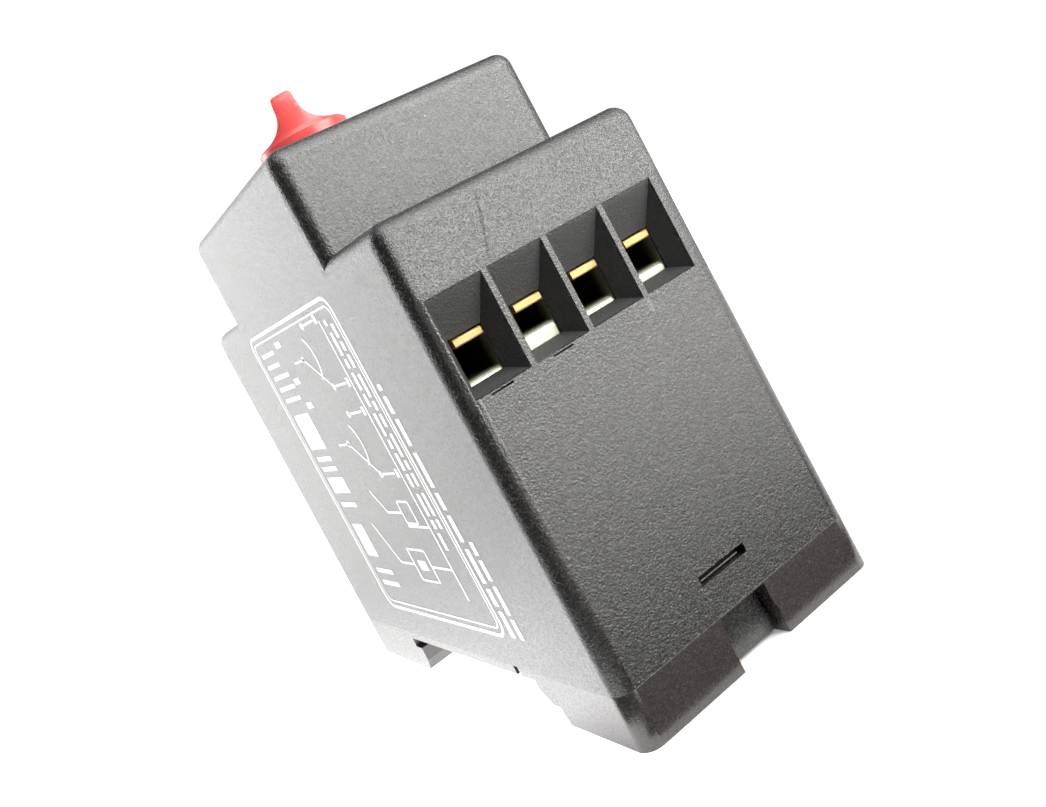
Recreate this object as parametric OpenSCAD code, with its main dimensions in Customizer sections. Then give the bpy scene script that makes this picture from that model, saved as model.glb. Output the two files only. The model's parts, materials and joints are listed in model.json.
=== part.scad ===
// DIN-rail time relay: stepped black housing, snap-on base with a sliding rail latch, a red time
// knob on a potentiometer, eight rising-cage terminals, and the electronics with an output relay.
// X runs along the rail, Y is the installed height, Z is the depth from the rail side to the front.

/* [Housing] */
// Width along the rail, two 17.5 mm modules
body_w = 35; // [35:0.5:36]
// Installed height, across both terminal rows
body_h = 75; // [74.5:0.5:78]
// Height of the raised front
collar_h = 45; // [44.5:0.5:45.5]
// Depth from the rail side to the terminal shoulders
shoulder_z = 58; // [57.8:0.1:58.5]
// Depth from the rail side to the front face
front_z = 71.3; // [71.3:0.1:72]
// Height of the line where the base meets the housing
parting_z = 6.2; // [6.2:0.1:6.4]
// Wall thickness
wall = 1.8; // [1.7:0.1:2]
// Radius of the outer edges
edge_r = 2; // [1.5:0.1:2.1]

/* [Terminals] */
// Spacing of the terminals
pitch = 7.9; // [7.9:0.05:8]
// How far each row stands off the middle, to its own left
row_off = 0.6; // [0:0.1:0.6]
// Lowest edge of the cable funnels
funnel_low = 38.3; // [38.1:0.1:38.4]
// Highest edge of the cable funnels
funnel_high = 49.2; // [49:0.1:49.5]
// Width of a funnel at the end face
funnel_w = 7.2; // [7:0.1:7.3]
// Depth of a funnel
funnel_depth = 2.5; // [2.4:0.1:2.6]
// Distance of the screws from the middle plane
screw_y = 31.6; // [31.5:0.05:31.7]
// Radius of the screwdriver holes
access_r = 2.3; // [2.2:0.05:2.4]
// Radius of the screw thread
screw_r = 1.5; // [1.4:0.05:1.5]
// Thickness of the contact bars
bar_t = 0.9; // [0.8:0.05:0.9]

/* [Time knob] */
// Distance of the knob above the middle of the front
knob_y = 7; // [6:0.1:7.5]
// Radius of the knob skirt
knob_r = 6.8; // [6.5:0.1:7]
// Height of the knob above the front face
knob_h = 11.3; // [10.8:0.1:11.5]
// Height of the knob's rim above the front face
knob_rim_h = 5.5; // [5.2:0.1:5.7]
// Radius of the finger hollows
hollow_r = 3.6; // [3.4:0.1:3.7]
// Thickness of the grip
grip_t = 3.4; // [3:0.1:3.6]
// Setting of the knob, clockwise from the middle of its scale
knob_set = 24; // [0:1:40]

/* [Rail side] */
// Depth of the rail channel
channel_z = 5; // [4.8:0.1:5]
// Travel of the latch
latch_travel = 3; // [2.6:0.1:3]

/* [Inside] */
// Height of the main board's lower face
board_z = 30; // [30:0.1:30.2]
// Height of the timing board's lower face
timing_z = 60; // [59.8:0.1:60.2]
// Thickness of the boards
board_t = 1.6; // [1.5:0.1:1.6]

/* [Hidden] */
$fn = 48;
e = 0.5;
gap = 0.3;
fit = 0.05;
half_w = body_w / 2;
half_h = body_h / 2;
half_c = collar_h / 2;

// Terminals: columns along X, one row at each end, numbered 1-4 near and 5-8 far
columns = [for (i = [0 : 3]) (i - 1.5) * pitch - row_off];
// How far each clamp stands above its open position
raises = [0.4, 1.6, 0.6, 1.0, 0.5, 1.3, 0.3, 0.8];
// Moulding seams under the first two funnels: ends along X, place under the funnels, depth
seam_runs = [[-14.2, -11.4], [-6.1, -3.4]];
seam_low = 0.35;
seam_high = 0.15;
seam_deep = 0.6;
chamber_y = half_h - funnel_depth;
chamber_back = 24;
chamber_half = 3.3;
chamber_low = 36.5;
chamber_top = 49.9;
head_pocket_r = 2.9;
head_pocket_top = 53.2;
funnel_throat = 4.2;
funnel_throat_low = funnel_low + 1.1;
funnel_throat_high = 44.5;
bar_z = 43.45;
bar_half = 1.75;
cage_half = 2.9;
cage_wall = 0.8;
cage_depth = 6.2;
jaw_t = 2.4;
jaw_r = 0.9;
cage_low = funnel_throat_low - 2.3;
cage_top = bar_z + bar_t + gap;
cage_cap_t = 1.2;
head_r = 2.6;
head_low = 50.7;
head_t = 2.2;
leg_y = 24.8;
leg_half = 0.5;

// Rail latch, for a rail 35 mm wide
rail_half = 17.5;
latch_half = 3.3;
latch_low = 1.2;
latch_t = 1.8;
latch_end = half_h - 1.8;
tab_half = 3.1;
tab_low = 0.4;
tab_high = 5.5;
tab_in = latch_end - 1.2;
nose_half = half_w - 1.3;
nose_out = rail_half + 1.4;
nose_in = rail_half - 2;
foot_in = nose_out + latch_travel + 0.4;
notch_half = 3.4;
spring_r = 0.9;
spring_wire = 0.35;
spring_turns = 6;
spring_out = 30.2;
spring_in = spring_out - spring_turns * spring_wire - latch_travel - 0.1;
spring_z = latch_low + latch_t / 2;

// Boards and what stands on them
board_top = board_z + board_t;
timing_top = timing_z + board_t;
board_half_x = half_w - wall - 0.5;
inner_half_x = half_w - wall;
inner_half_y = half_h - wall;
post_x = 13.2;
post_y = 33;
stud_x = 13;
stud_y = 18;
link_y = -20.4;
link_x = [for (i = [0 : 7]) 1.5 * (i - 3.5)];
led_x = [-6, 6];
led_y = -15;
led_r = 1.5;
lens_top = front_z - 0.1;
lens_dome_r = 2.2;
hung_top = board_z - 1.2;

// Potentiometer
pot_half = 5;
pot_h = 5;
shaft_r = 2;
shaft_top = front_z + 4.4;

// Output relay, in its own frame on the main board
relay_y = 13;
relay_half_x = 13;
relay_half_y = 6;
coil_x = -0.5;
yoke_t = 1.2;
yoke_x = -7.5;
yoke_top = 17;
pole_top = 16.8;
armature_low = 17.4;
armature_t = 1;
blade_t = 0.25;
contact_x = 9.5;
contact_r = 1;
contact_h = 0.6;
contact_drop = 0.95;
relay_pins_at = [[-10, -3.6], [-10, 3.6], [10, -3.6], [10, 0], [10, 3.6]];

// Transformer
core_y = -13;
core_half_x = 13;
core_low = 9.5;
core_h = 18;
core_stack = 9;
transformer_pins_at = [[-7, -7], [7, -7], [-7, 7], [7, 7]];

// ---- shared shapes ----

module rounded_rect(w, l, r) {
    square([w - 2 * r, l], center = true);
    square([w, l - 2 * r], center = true);
    for (sx = [-1, 1], sy = [-1, 1])
        translate([sx * (w / 2 - r), sy * (l / 2 - r)])
            circle(r = r);
}

// Block with all its edges rounded, apart from those around its underside
module case_block(w, l, h) {
    top = h - edge_r;
    in_x = w / 2 - edge_r;
    in_y = l / 2 - edge_r;
    linear_extrude(top)
        rounded_rect(w, l, edge_r);
    translate([-in_x, -in_y, 0])
        cube([2 * in_x, 2 * in_y, h]);
    for (sx = [-1, 1], sy = [-1, 1])
        translate([sx * in_x, sy * in_y, top])
            sphere(r = edge_r);
    for (sx = [-1, 1])
        translate([sx * in_x, 0, top])
            rotate([90, 0, 0])
                cylinder(r = edge_r, h = 2 * in_y, center = true);
    for (sy = [-1, 1])
        translate([0, sy * in_y, top])
            rotate([0, 90, 0])
                cylinder(r = edge_r, h = 2 * in_x, center = true);
}

// Box from its lowest corner to its highest corner
module span(low, high) {
    translate(low)
        cube(high - low);
}

// Extrudes a profile drawn in Y and Z, centred across X
module profile_along_x(w) {
    rotate([90, 0, 90])
        linear_extrude(w, center = true)
            children();
}

// Upright cylinder between two heights
module post(x, y, low, high, r) {
    translate([x, y, low])
        cylinder(r = r, h = high - low);
}

// Places its children at each end: as drawn at the near end, turned round at the far end
module at_end(end) {
    rotate([0, 0, end < 0 ? 0 : 180])
        children();
}

// ---- casing ----

// Cable funnel of one terminal, narrowing from the end face to the clamp
module funnel() {
    intersection() {
        profile_along_x(funnel_w + 1)
            polygon([
                [-half_h - e, funnel_low - 0.22], [-chamber_y + 0.01, funnel_throat_low],
                [-chamber_y + 0.01, funnel_throat_high], [-half_h - e, funnel_high + 0.94]
            ]);
        translate([0, 0, funnel_low - 1])
            linear_extrude(funnel_high - funnel_low + 3)
                polygon([
                    [-funnel_w / 2, -half_h - e], [-funnel_w / 2, -half_h],
                    [-funnel_throat / 2, -chamber_y + 0.01], [funnel_throat / 2, -chamber_y + 0.01],
                    [funnel_w / 2, -half_h], [funnel_w / 2, -half_h - e]
                ]);
    }
}

// Space for one clamp and its screw, with the screwdriver hole above
module terminal_space() {
    funnel();
    span([-chamber_half, -chamber_y, chamber_low - e], [chamber_half, -chamber_back, chamber_top]);
    post(0, -screw_y, chamber_top - e, head_pocket_top, head_pocket_r);
    post(0, -screw_y, head_pocket_top - e, shoulder_z + e, access_r);
}

module snap_window() {
    span([-notch_half, -half_h - e, 9.8], [notch_half, -inner_half_y + e, 10.9]);
}

// Seams left in the near end face by the mould, under two of the funnels
module seams() {
    for (run = seam_runs)
        span([run[0], -half_h - e, funnel_low - seam_low],
             [run[1], -half_h + seam_deep, funnel_low - seam_high]);
}

module housing() {
    color([0.16, 0.15, 0.15])
        union() {
            difference() {
                union() {
                    case_block(body_w, body_h, shoulder_z);
                    case_block(body_w, collar_h, front_z);
                }
                span([-body_w, -body_h, -e], [body_w, body_h, parting_z]);
                span([-inner_half_x, -inner_half_y, 0], [inner_half_x, inner_half_y, chamber_low]);
                span([-inner_half_x, -22.8, 0], [inner_half_x, 22.8, shoulder_z - wall]);
                span([-inner_half_x, -half_c + wall, 0], [inner_half_x, half_c - wall, front_z - wall]);
                for (end = [-1, 1])
                    at_end(end) {
                        snap_window();
                        for (x = columns)
                            translate([x, 0, 0])
                                terminal_space();
                    }
                seams();
                translate([0, 0, front_z - 0.8])
                    linear_extrude(2)
                        rounded_rect(body_w - 5, collar_h - 5, 1.2);
                post(0, knob_y, shoulder_z, front_z + e, shaft_r + 0.5);
                for (x = led_x)
                    post(x, led_y, shoulder_z, front_z + e, led_r + 0.1);
            }
            for (sx = [-1, 1], sy = [-1, 1])
                post(sx * stud_x, sy * stud_y, timing_top, front_z - wall + 0.1, 1.5);
        }
}

// Cantilever hook that snaps into the housing's window
module snap_hook() {
    span([-2.8, -inner_half_y + 0.3, parting_z], [2.8, -inner_half_y + 1.5, 11.4]);
    rotate([90, 0, 90])
        linear_extrude(5.6, center = true)
            polygon([
                [-inner_half_y + 0.4, 10.6], [-half_h + 0.8, 10.1], [-half_h + 0.8, 9.95],
                [-inner_half_y + 0.4, 9.95]
            ]);
}

// Groove that guides the latch, open below at its outer end
module latch_groove() {
    top = latch_low + latch_t + gap;
    span([-latch_half - gap, -latch_end - e, latch_low - gap], [latch_half + gap, -foot_in + e, top]);
    span([-latch_half - gap, -half_h - e, -e], [latch_half + gap, -32, top]);
    span([-latch_half + 0.6, -32 - e, -e], [latch_half - 0.6, -foot_in + e, latch_low]);
    span([-notch_half, -half_h - e, -e], [notch_half, -tab_in + gap, tab_high + gap]);
}

module base() {
    color([0.19, 0.18, 0.18])
        union() {
            difference() {
                union() {
                    linear_extrude(parting_z)
                        rounded_rect(body_w, body_h, edge_r);
                    span([-inner_half_x + 0.2, -inner_half_y + 0.3, parting_z - e],
                         [inner_half_x - 0.2, inner_half_y - 0.3, parting_z + 1.2]);
                    for (end = [-1, 1])
                        at_end(end)
                            snap_hook();
                    for (sx = [-1, 1], sy = [-1, 1])
                        post(sx * post_x, sy * post_y, parting_z, board_z, 1.8);
                }
                // rail channel with a chamfered near edge and a hooked far edge
                rotate([90, 0, 90])
                    linear_extrude(body_w + 2, center = true)
                        polygon([
                            [-foot_in - 0.5, -e], [-foot_in - 0.5, 0], [-foot_in, 1.4],
                            [-foot_in, channel_z], [rail_half + 0.6, channel_z],
                            [rail_half + 0.6, 3.6], [rail_half - 1.3, 3.6],
                            [rail_half - 1.3, 1.6], [rail_half, -e]
                        ]);
                latch_groove();
                span([-notch_half, -half_h - e, -e], [notch_half, -latch_end, parting_z - 0.2]);
                // small relief at the edge of the channel
                for (sx = [-1, 1])
                    translate([sx * half_w, -15.5, 5.6])
                        cube([1.2, 1, 2.4], center = true);
            }
            // post that the latch spring pushes against
            span([-0.9, -spring_out - 1, latch_low - 0.1],
                 [0.9, -spring_out, latch_low + latch_t + gap + 0.1]);
        }
}

module front_plate() {
    color([0.10, 0.10, 0.11])
        difference() {
            translate([0, 0, front_z - 0.8])
                linear_extrude(0.7)
                    rounded_rect(body_w - 5.2, collar_h - 5.2, 1.1);
            post(0, knob_y, shoulder_z, front_z + e, shaft_r + 0.4);
            for (x = led_x)
                post(x, led_y, shoulder_z, front_z + e, led_r + 0.1);
        }
}

// ---- rail latch ----

module rail_latch() {
    color([0.13, 0.12, 0.12])
        difference() {
            union() {
                span([-latch_half, -latch_end, latch_low], [latch_half, -nose_out + 0.4, latch_low + latch_t]);
                span([-tab_half, -latch_end, tab_low], [tab_half, -tab_in, tab_high]);
                rotate([90, 0, 90])
                    linear_extrude(2 * nose_half, center = true)
                        polygon([
                            [-nose_out, channel_z - gap], [-nose_out, 0.5], [-nose_out + 1.6, 0.5],
                            [-nose_in, 2.1], [-nose_in, 3.5], [-nose_out + 1, 3.5],
                            [-nose_out + 1, channel_z - gap]
                        ]);
            }
            // window for the spring and its post
            span([-1.5, -spring_out - 1.4, 0], [1.5, -spring_in, channel_z]);
            // slot for a screwdriver blade
            span([-2, -tab_in + 0.1, 0], [2, -33.2, channel_z]);
        }
}

// Points of one ring of a wire wound about the Y axis
function ring(t, sides) =
    let (a = 360 * spring_turns * t)
    let (inset = spring_wire / 2, run = spring_out - spring_in - spring_wire)
    [
        for (k = [0 : sides - 1])
            let (b = 360 * k / sides, r = spring_r + inset * cos(b))
            [r * cos(a), -spring_out + inset + run * t + inset * sin(b), spring_z + r * sin(a)]
    ];

module latch_spring() {
    sides = 8;
    rings = 16 * spring_turns;
    points = [for (i = [0 : rings]) each ring(i / rings, sides)];
    walls = [
        for (i = [0 : rings - 1], k = [0 : sides - 1])
            let (k2 = (k + 1) % sides)
            each [
                [i * sides + k, (i + 1) * sides + k, (i + 1) * sides + k2],
                [i * sides + k, (i + 1) * sides + k2, i * sides + k2]
            ]
    ];
    caps = [[for (k = [0 : sides - 1]) k], [for (k = [sides - 1 : -1 : 0]) rings * sides + k]];
    color([0.72, 0.72, 0.74])
        polyhedron(points, concat(walls, caps), convexity = 8);
}

// ---- time knob and potentiometer ----

// Outline of the grip and its two finger hollows, seen along the grip
module grip_outline() {
    rim = knob_rim_h;
    hollow_x = grip_t / 2 + hollow_r;
    difference() {
        union() {
            translate([-knob_r - 1, 0])
                square([2 * knob_r + 2, rim]);
            translate([-hollow_x, 0])
                square([2 * hollow_x, rim + hollow_r]);
        }
        for (sx = [-1, 1])
            translate([sx * hollow_x, rim + hollow_r])
                circle(r = hollow_r, $fn = 64);
    }
    tip = knob_h - 0.5;
    polygon([
        [-grip_t / 2, rim], [grip_t / 2, rim], [grip_t / 2, rim + hollow_r],
        [grip_t / 2 - 0.2, tip], [grip_t / 2 - 0.6, knob_h], [-grip_t / 2 + 0.6, knob_h],
        [-grip_t / 2 + 0.2, tip], [-grip_t / 2, rim + hollow_r]
    ]);
}

// Outline that limits the knob all round: upright skirt, softened rim, slightly domed grip end
module knob_outline() {
    polygon([
        [0, 0.6], [knob_r, 0.6], [knob_r, knob_rim_h - 0.4], [knob_r - 0.4, knob_rim_h],
        [knob_r - 0.6, knob_rim_h + 1], [knob_r - 1, knob_h - 1.2], [knob_r - 1.6, knob_h - 0.3],
        [knob_r - 2.4, knob_h], [0, knob_h]
    ]);
}

// Places its children at the knob's axis, turned to the knob's setting
module at_knob(z) {
    translate([0, knob_y, z])
        rotate([0, 0, -knob_set])
            children();
}

module time_knob() {
    color([0.85, 0.12, 0.10])
        at_knob(front_z)
            difference() {
                intersection() {
                    rotate([90, 0, 0])
                        linear_extrude(2 * knob_r + 2, center = true)
                            grip_outline();
                    rotate_extrude($fn = 96)
                        knob_outline();
                }
                difference() {
                    post(0, 0, 0, 3.6, knob_r - 1);
                    post(0, 0, -e, 4, shaft_r + 1.4);
                }
                post(0, 0, -e, 4.4 + fit, shaft_r + 0.02);
            }
}

module pot_shaft() {
    color([0.88, 0.88, 0.84])
        at_knob(0) {
            post(0, 0, timing_top + 2.4, shaft_top, shaft_r);
            post(0, 0, timing_top + 2.4, timing_top + 3.4, 3.4);
        }
}

module pot_wiper() {
    color([0.80, 0.66, 0.36])
        at_knob(timing_top) {
            post(0, 0, 2, 2.4, 2);
            span([-0.7, 0, 2.1], [0.7, 4, 2.4]);
            span([-0.4, 3, 1.4], [0.4, 3.6, 2.2]);
        }
}

module pot_case() {
    color([0.20, 0.28, 0.52])
        translate([0, knob_y, timing_top])
            difference() {
                span([-pot_half, -pot_half, 1.2], [pot_half, pot_half, pot_h]);
                post(0, 0, 1, pot_h - 1, 4.3);
                post(0, 0, 1, pot_h + 1, shaft_r + fit);
            }
}

module pot_base() {
    color([0.62, 0.44, 0.22])
        translate([0, knob_y, timing_top])
            span([-pot_half, -pot_half, 0], [pot_half, pot_half, 1.2]);
}

module pot_track() {
    color([0.08, 0.08, 0.08])
        translate([0, knob_y, timing_top + 1.2])
            rotate([0, 0, -60])
                rotate_extrude(angle = 300, $fn = 64)
                    translate([2.6, 0])
                        square([1.4, 0.15]);
}

module led(x, tint) {
    color(tint)
        translate([x, led_y, 0]) {
            post(0, 0, 66.5, lens_top - 0.7, led_r);
            intersection() {
                translate([0, 0, lens_top - lens_dome_r])
                    sphere(r = lens_dome_r);
                post(0, 0, lens_top - 0.8, lens_top, led_r);
            }
            post(0, 0, 66, 66.6, led_r + 0.3);
            for (sx = [-1, 1])
                post(sx * 0.9, 0, timing_top, 66.1, 0.25);
        }
}

module supply_led() {
    led(led_x[0], [0.20, 0.72, 0.30]);
}

module output_led() {
    led(led_x[1], [0.95, 0.62, 0.12]);
}

// ---- terminals ----

// Places its children at a terminal: 1 to 4 at the near end, 5 to 8 at the far end
module at_terminal(n) {
    at_end(n <= 4 ? -1 : 1)
        translate([columns[(n - 1) % 4], 0, 0])
            children();
}

module terminal_screw(n) {
    color([0.78, 0.76, 0.68])
        at_terminal(n)
            translate([0, -screw_y, 0])
                difference() {
                    union() {
                        post(0, 0, bar_z + bar_t + 0.1, head_low + 0.1, screw_r);
                        post(0, 0, head_low, head_low + head_t, head_r);
                    }
                    for (a = [0, 90])
                        rotate([0, 0, a + 20 * n])
                            translate([0, 0, head_low + head_t])
                                cube([a == 0 ? 2 * head_r + 1 : 3, 0.8, 2.2], center = true);
                }
}

// Box clamp that rises along its screw and presses the wire against the contact bar
module clamp_cage(n) {
    color([0.82, 0.74, 0.48])
        at_terminal(n)
            translate([0, -screw_y, raises[n - 1]])
                difference() {
                    span([-cage_half, -cage_depth / 2, cage_low],
                         [cage_half, cage_depth / 2, cage_top + cage_cap_t]);
                    // the opening, down to the jaw's rounded upper edges
                    difference() {
                        span([-cage_half + cage_wall, -cage_depth, cage_low + jaw_t - jaw_r],
                             [cage_half - cage_wall, cage_depth, cage_top]);
                        profile_along_x(2 * cage_half)
                            translate([0, cage_low + jaw_t - jaw_r - 0.1])
                                rounded_rect(cage_depth, 2 * jaw_r + 0.2, jaw_r);
                    }
                    post(0, 0, cage_top - e, cage_top + cage_cap_t + e, screw_r + fit);
                }
}

// Contact bars: a strip with rounded ends and a leg down to the main board
module contact_bar() {
    tip = -half_h + 2.2;
    bend = -leg_y + bar_t / 2;
    profile_along_x(2 * bar_half)
        translate([(tip + bend) / 2, bar_z + bar_t / 2])
            rounded_rect(bend - tip, bar_t, 0.2);
    span([-1, -leg_y - bar_t / 2, chamber_low - 1], [1, bend, bar_z + bar_t / 2]);
    span([-leg_half, -leg_y - bar_t / 2, board_z - 1.4], [leg_half, bend, chamber_low]);
}
module contact_bars(end) {
    color([0.80, 0.64, 0.30])
        at_end(end)
            for (x = columns)
                translate([x, 0, 0])
                    contact_bar();
}

module terminal_carrier(end) {
    color([0.15, 0.15, 0.15])
        at_end(end)
            difference() {
                span([-inner_half_x + 0.2, -inner_half_y + 0.3, board_top],
                     [inner_half_x - 0.2, -23.4, chamber_low]);
                for (x = columns)
                    translate([x, 0, 0]) {
                        span([-1 - fit, -leg_y - bar_t / 2 - fit, chamber_low - 1 - fit],
                             [1 + fit, -leg_y + bar_t / 2 + fit, chamber_low + e]);
                        span([-leg_half - fit, -leg_y - bar_t / 2 - fit, board_z],
                             [leg_half + fit, -leg_y + bar_t / 2 + fit, chamber_low]);
                    }
            }
}

// ---- boards ----

module main_board() {
    color([0.16, 0.42, 0.24])
        difference() {
            span([-board_half_x, -inner_half_y + 0.6, board_z], [board_half_x, inner_half_y - 0.6, board_top]);
            for (end = [-1, 1])
                at_end(end)
                    for (x = columns)
                        span([x - leg_half - fit, -leg_y - bar_t / 2 - fit, board_z - e],
                             [x + leg_half + fit, -leg_y + bar_t / 2 + fit, board_top + e]);
            for (x = link_x)
                post(x, link_y, board_z - e, board_top + e, 0.3 + fit);
            for (p = relay_pins_at)
                post(p[0], relay_y + p[1], board_z - e, board_top + e, 0.4 + fit);
            for (p = transformer_pins_at)
                post(p[0], core_y + p[1], board_z - e, board_top + e, 0.4 + fit);
        }
}

module timing_board() {
    color([0.16, 0.42, 0.24])
        difference() {
            span([-board_half_x, -half_c + wall + 0.3, timing_z], [board_half_x, half_c - wall - 0.3, timing_top]);
            for (x = link_x)
                post(x, link_y + 0.6, timing_z - e, timing_top + e, 0.3 + fit);
        }
}

module link_wires() {
    color([0.80, 0.80, 0.82])
        for (x = link_x)
            translate([x, link_y, 0]) {
                post(0, 0, board_z - 1, 45, 0.3);
                translate([0, 0.3, 45])
                    cube([0.6, 1.2, 0.8], center = true);
                post(0, 0.6, 45, timing_top + 0.8, 0.3);
            }
}

// ---- transformer ----

module transformer_core() {
    color([0.42, 0.42, 0.45])
        translate([0, core_y, core_low])
            rotate([90, 0, 0])
                linear_extrude(core_stack, center = true)
                    difference() {
                        translate([-core_half_x, 0])
                            square([2 * core_half_x, core_h]);
                        for (sx = [-1, 1])
                            translate([sx * 6.5, core_h / 2])
                                square([6.4, 11.4], center = true);
                    }
}

module ring_block(outer, inner, low, high) {
    translate([0, core_y, low])
        linear_extrude(high - low)
            difference() {
                square(outer, center = true);
                square(inner, center = true);
            }
}

module transformer_bobbin() {
    inner = [6.8, core_stack + 0.2];
    low = core_low + 3.4;
    high = core_low + core_h - 3.4;
    color([0.86, 0.84, 0.78]) {
        ring_block([8, core_stack + 1.4], inner, low, high);
        ring_block([18.8, 18.4], inner, low, low + 0.8);
        ring_block([18.8, 18.4], inner, high - 0.8, high);
        for (p = transformer_pins_at)
            translate([p[0], core_y + p[1], 0])
                post(0, 0, high - 0.1, board_z, 1);
    }
}

module transformer_winding() {
    color([0.72, 0.36, 0.16])
        ring_block([18, 17.6], [8.1, core_stack + 1.5], core_low + 4.25, core_low + core_h - 4.25);
}

module transformer_pins() {
    color([0.80, 0.80, 0.82])
        for (p = transformer_pins_at)
            translate([p[0], core_y + p[1], 0])
                post(0, 0, board_z, board_top + 0.8, 0.4);
}

// ---- parts on the boards ----

module smoothing_capacitor() {
    color([0.14, 0.18, 0.34])
        translate([8.2, 13, 0]) {
            post(0, 0, 12.5, hung_top, 5);
            for (sx = [-1, 1])
                post(sx * 1, -1, hung_top - 0.1, board_z, 0.3);
        }
}

module film_capacitor() {
    color([0.74, 0.20, 0.14])
        translate([-7.5, 12.5, 0]) {
            span([-6.5, -3.5, 17.5], [6.5, 3.5, hung_top]);
            for (sx = [-1, 1])
                post(sx * 5, 0, hung_top - 0.1, board_z, 0.4);
        }
}

module varistor() {
    color([0.16, 0.34, 0.66])
        translate([-10.5, -12, board_top]) {
            translate([0, 0, 5])
                rotate([90, 0, 0])
                    cylinder(r = 4, h = 3, center = true);
            for (sx = [-1, 1])
                post(sx * 2.5, 0, 0, 3, 0.3);
        }
}

module bridge_rectifier() {
    color([0.10, 0.10, 0.11])
        span([-4, -15, board_top], [4, -9, board_top + 3.2]);
}

module timer_chip() {
    color([0.12, 0.12, 0.13])
        translate([0, -5.4, timing_top]) {
            span([-9.6, -3.1, 0.5], [9.6, 3.1, 3.7]);
            for (i = [0 : 7], sy = [-1, 1])
                translate([(i - 3.5) * 2.4, sy * 3.3, 1.1])
                    cube([0.6, 0.6, 2.2], center = true);
        }
}

module resistors() {
    color([0.80, 0.70, 0.52])
        for (i = [0 : 3])
            translate([9.5, -17.4 + 3.2 * i, board_top + 1.3])
                rotate([0, 90, 0]) {
                    cylinder(r = 1.1, h = 6, center = true);
                    cylinder(r = 0.25, h = 8.6, center = true);
                    for (sx = [-1, 1])
                        translate([0.65, 0, sx * 4.2])
                            cube([1.3, 0.5, 0.5], center = true);
                }
}

// ---- output relay ----

module on_relay() {
    translate([0, relay_y, board_top])
        children();
}

module relay_base() {
    color([0.12, 0.12, 0.13])
        on_relay()
            span([-relay_half_x, -relay_half_y, 0], [relay_half_x, relay_half_y, 2]);
}

module relay_cover() {
    color([0.80, 0.84, 0.88, 0.4])
        on_relay()
            difference() {
                span([-relay_half_x, -relay_half_y, 2], [relay_half_x, relay_half_y, 23]);
                span([-relay_half_x + 0.7, -relay_half_y + 0.7, 1], [relay_half_x - 0.7, relay_half_y - 0.7, 22.3]);
            }
}

module relay_yoke() {
    color([0.70, 0.70, 0.72])
        on_relay() {
            span([yoke_x, -3.5, 2], [3.2, 3.5, 2 + yoke_t]);
            span([yoke_x, -3.5, 2], [yoke_x + yoke_t, 3.5, yoke_top]);
        }
}

module relay_core() {
    color([0.66, 0.66, 0.68])
        on_relay() {
            post(coil_x, 0, 2 + yoke_t, pole_top, 2);
            post(coil_x, 0, pole_top - 0.8, pole_top, 3.2);
        }
}

module relay_bobbin() {
    low = 2 + yoke_t;
    high = pole_top - 0.8;
    color([0.90, 0.88, 0.82])
        on_relay()
            difference() {
                union() {
                    post(coil_x, 0, low, high, 2.8);
                    post(coil_x, 0, low, low + 0.8, 5);
                    post(coil_x, 0, high - 0.8, high, 5);
                }
                post(coil_x, 0, low - e, high + e, 2 + fit);
            }
}

module relay_coil() {
    color([0.72, 0.36, 0.16])
        on_relay()
            difference() {
                post(coil_x, 0, 2 + yoke_t + 0.85, pole_top - 1.65, 4.7);
                post(coil_x, 0, 2, pole_top, 2.8 + fit);
            }
}

module relay_armature() {
    color([0.70, 0.70, 0.72])
        on_relay()
            span([yoke_x - 0.3, -3.5, armature_low], [coil_x + 3.6, 3.5, armature_low + armature_t]);
}

module moving_contact() {
    blade = armature_low + armature_t;
    color([0.82, 0.62, 0.34])
        on_relay() {
            span([yoke_x + 1, -1.8, blade], [contact_x + 1.2, 1.8, blade + blade_t]);
            post(contact_x, 0, blade - contact_h, blade + 0.1, contact_r);
            post(contact_x, 0, blade + blade_t - 0.1, blade + blade_t + contact_h, contact_r);
        }
}

module working_contact() {
    top = armature_low + armature_t - contact_h - contact_drop;
    color([0.82, 0.62, 0.34])
        on_relay() {
            post(contact_x, 0, top - contact_h, top, contact_r);
            span([contact_x - 1, -1.2, top - contact_h - 0.4], [12, 1.2, top - contact_h]);
            span([11.6, -1.2, 2], [12, 1.2, top - contact_h]);
        }
}

module rest_contact() {
    low = armature_low + armature_t + blade_t + contact_h + fit;
    color([0.82, 0.62, 0.34])
        on_relay() {
            post(contact_x, 0, low, low + contact_h, contact_r);
            span([contact_x - 1, -1.2, low + contact_h], [12, 4.8, low + contact_h + 0.4]);
            span([11.6, 2.6, 2], [12, 4.8, low + contact_h + 0.4]);
        }
}

module relay_pins() {
    color([0.80, 0.80, 0.82])
        on_relay()
            for (p = relay_pins_at)
                post(p[0], p[1], -board_t - 0.8, 0, 0.4);
}

housing();
base();
front_plate();
rail_latch();
latch_spring();
time_knob();
pot_shaft();
pot_wiper();
pot_case();
pot_base();
pot_track();
supply_led();
output_led();
terminal_screw(1);  // terminal_screw_1
terminal_screw(2);  // terminal_screw_2
terminal_screw(3);  // terminal_screw_3
terminal_screw(4);  // terminal_screw_4
terminal_screw(5);  // terminal_screw_5
terminal_screw(6);  // terminal_screw_6
terminal_screw(7);  // terminal_screw_7
terminal_screw(8);  // terminal_screw_8
clamp_cage(1);  // clamp_cage_1
clamp_cage(2);  // clamp_cage_2
clamp_cage(3);  // clamp_cage_3
clamp_cage(4);  // clamp_cage_4
clamp_cage(5);  // clamp_cage_5
clamp_cage(6);  // clamp_cage_6
clamp_cage(7);  // clamp_cage_7
clamp_cage(8);  // clamp_cage_8
contact_bars(-1);  // contact_bars_near
contact_bars(1);  // contact_bars_far
terminal_carrier(-1);  // terminal_carrier_near
terminal_carrier(1);  // terminal_carrier_far
main_board();
timing_board();
link_wires();
transformer_core();
transformer_bobbin();
transformer_winding();
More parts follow.
